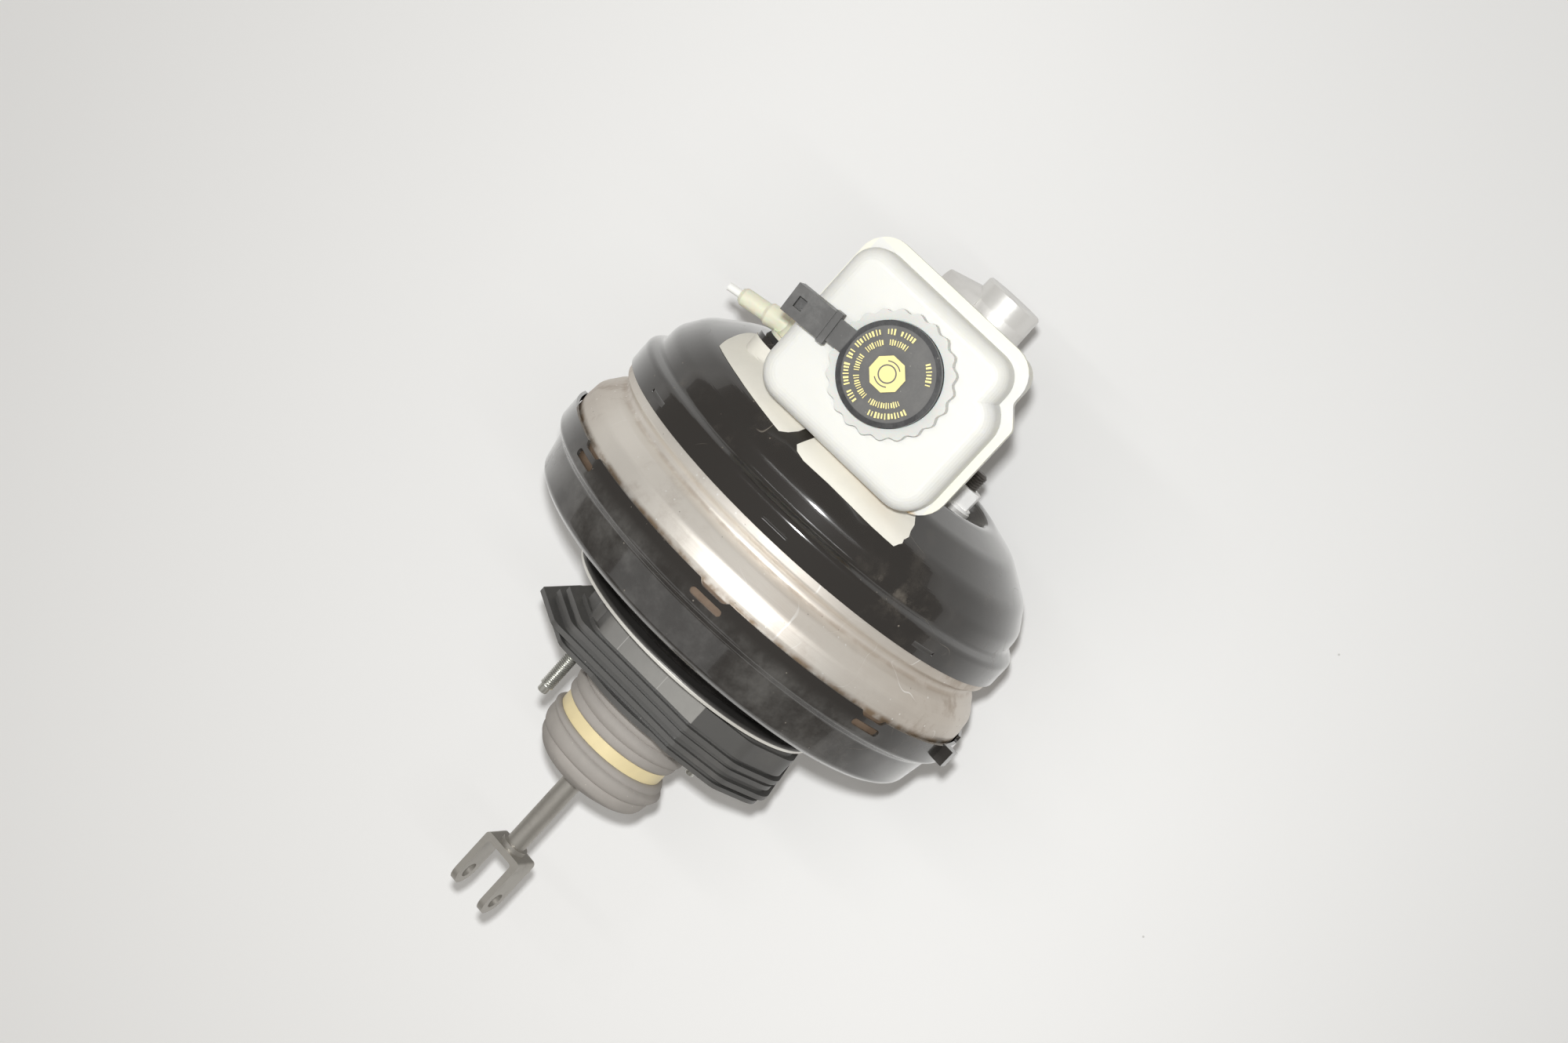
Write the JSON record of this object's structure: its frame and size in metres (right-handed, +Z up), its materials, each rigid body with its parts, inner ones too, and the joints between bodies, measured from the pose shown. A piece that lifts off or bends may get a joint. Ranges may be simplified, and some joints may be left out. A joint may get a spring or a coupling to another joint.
{
  "type": "brake booster",
  "caption": "Tandem vacuum brake booster with a push rod and clevis, a bolted-on master cylinder and a fluid reservoir with a screw-collar cap.",
  "frame": {"origin": "where the booster's axis meets the bulkhead face that the studs pull against", "axes": "+X forward along the booster's axis towards the closed end of the master cylinder, +Z up towards the filler cap, +Y to the left side, where the outlet ports and the vacuum nipple are"},
  "size_m": [0.457, 0.2845, 0.285],
  "materials": {
    "shell_black": "gloss black enamel over pressed steel",
    "shell_band": "bare plated steel, brushed around",
    "plate_steel": "plated pressed steel",
    "rubber_black": "satin moulded rubber",
    "gasket": "dull moulded foam rubber",
    "zinc_steel": "zinc plated",
    "boot_rubber": "dusty grey-brown rubber",
    "ring_cream": "satin cream plastic",
    "rod_steel": "grey phosphated steel",
    "spring_wire": "drawn wire",
    "filter_felt": "pressed felt",
    "phenolic": "moulded phenolic",
    "cast_aluminium": "cast and part machined",
    "stud_dark": "dark phosphated",
    "nut_bright": "bright plated",
    "guide_plastic": "satin",
    "piston_alloy": "anodised",
    "reservoir_plastic": "translucent milky plastic",
    "cap_black": "satin black",
    "collar_plastic": "translucent grey-white plastic",
    "float_plastic": "foamed plastic",
    "valve_plastic": "pale yellow-green plastic",
    "tube_white": "soft white tube"
  },
  "bodies": {
    "housing": {"rear_shell": "shell_black", "middle_shell": "shell_band", "front_shell": "shell_black", "centre_plate": "plate_steel", "centre_seal": "rubber_black", "rear_guide_seal": "rubber_black", "support_plate": "plate_steel", "bulkhead_gasket": "gasket", "bulkhead_studs": "zinc_steel", "boot": "boot_rubber", "rear_diaphragm": "rubber_black", "front_diaphragm": "rubber_black", "return_spring": "spring_wire", "cylinder_body": "cast_aluminium", "cylinder_oring": "rubber_black", "cylinder_studs": "stud_dark", "cylinder_nuts": "nut_bright", "stop_ring": "spring_wire", "guide_ring": "guide_plastic", "reservoir_grommets": "rubber_black", "reservoir_tub": "reservoir_plastic", "reservoir_cover": "reservoir_plastic", "reservoir_pin": "spring_wire", "valve_grommet": "rubber_black", "check_valve": "valve_plastic", "hose_tip": "tube_white"},
    "power_piston": {"valve_body": "phenolic", "plunger_key": "zinc_steel", "rear_plate": "plate_steel", "front_plate": "plate_steel", "reaction_disc": "rubber_black", "output_rod": "zinc_steel", "poppet_valve": "rubber_black", "poppet_spring": "spring_wire", "air_filter": "filter_felt", "rod_spring": "spring_wire"},
    "plunger": {"plunger": "zinc_steel"},
    "push_rod": {"push_rod": "rod_steel", "clevis": "rod_steel", "rod_spring_seat": "zinc_steel"},
    "boot_ring": {"boot_ring": "ring_cream"},
    "primary_piston": {"primary_piston": "piston_alloy", "primary_cups": "rubber_black", "primary_spring": "spring_wire"},
    "secondary_piston": {"secondary_piston": "piston_alloy", "secondary_cups": "rubber_black", "secondary_spring": "spring_wire"},
    "filler_cap": {"filler_cap": "cap_black", "cap_seal": "rubber_black"},
    "cap_collar": {"cap_collar": "collar_plastic"},
    "level_float": {"level_float": "float_plastic"},
    "check_disc": {"check_disc": "rubber_black"}
  },
  "joints": [
    {"name": "pedal_stroke", "type": "slide", "parent": "housing", "child": "power_piston", "axis": [1, 0, 0], "range_m": [0, 0.03], "stiffness_N_per_m": 3000, "springref_m": -0.03, "deforming": ["boot", "rear_diaphragm", "front_diaphragm", "return_spring"]},
    {"name": "valve_travel", "type": "slide", "parent": "power_piston", "child": "plunger", "axis": [1, 0, 0], "range_m": [0, 0.0015], "stiffness_N_per_m": 2000, "springref_m": -0.004, "deforming": ["rod_spring"]},
    {"name": "rod_swing", "type": "hinge", "parent": "plunger", "child": "push_rod", "pos_m": [0.05, 0, 0], "axis": [0, 1, 0], "range_deg": [-3, 3], "stiffness_Nm_per_rad": 2, "deforming": ["boot", "rod_spring"]},
    {"name": "boot_ring_slide", "type": "slide", "parent": "housing", "child": "boot_ring", "axis": [1, 0, 0], "range_m": [0, 0.015]},
    {"name": "primary_stroke", "type": "slide", "parent": "housing", "child": "primary_piston", "axis": [1, 0, 0], "range_m": [0, 0.03], "deforming": ["primary_spring"]},
    {"name": "secondary_stroke", "type": "slide", "parent": "housing", "child": "secondary_piston", "axis": [1, 0, 0], "range_m": [0, 0.015], "deforming": ["primary_spring", "secondary_spring"]},
    {"name": "cap_lift", "type": "slide", "parent": "housing", "child": "filler_cap", "axis": [0, 0, 1], "range_m": [0, 0.03]},
    {"name": "collar_turn", "type": "hinge", "parent": "filler_cap", "child": "cap_collar", "pos_m": [0.2375, 0, 0], "axis": [0, 0, 1], "range_deg": [0, 60]},
    {"name": "float_rise", "type": "slide", "parent": "filler_cap", "child": "level_float", "axis": [0, 0, 1], "range_m": [0, 0.015]},
    {"name": "disc_lift", "type": "slide", "parent": "housing", "child": "check_disc", "axis": [1, 0, 0], "range_m": [0, 0.0015]}
  ],
  "couplings": [
    {"joint": "boot_ring_slide", "follows": "pedal_stroke", "ratio": 0.5},
    {"joint": "primary_stroke", "follows": "pedal_stroke", "ratio": 1},
    {"joint": "secondary_stroke", "follows": "pedal_stroke", "ratio": 0.5}
  ]
}
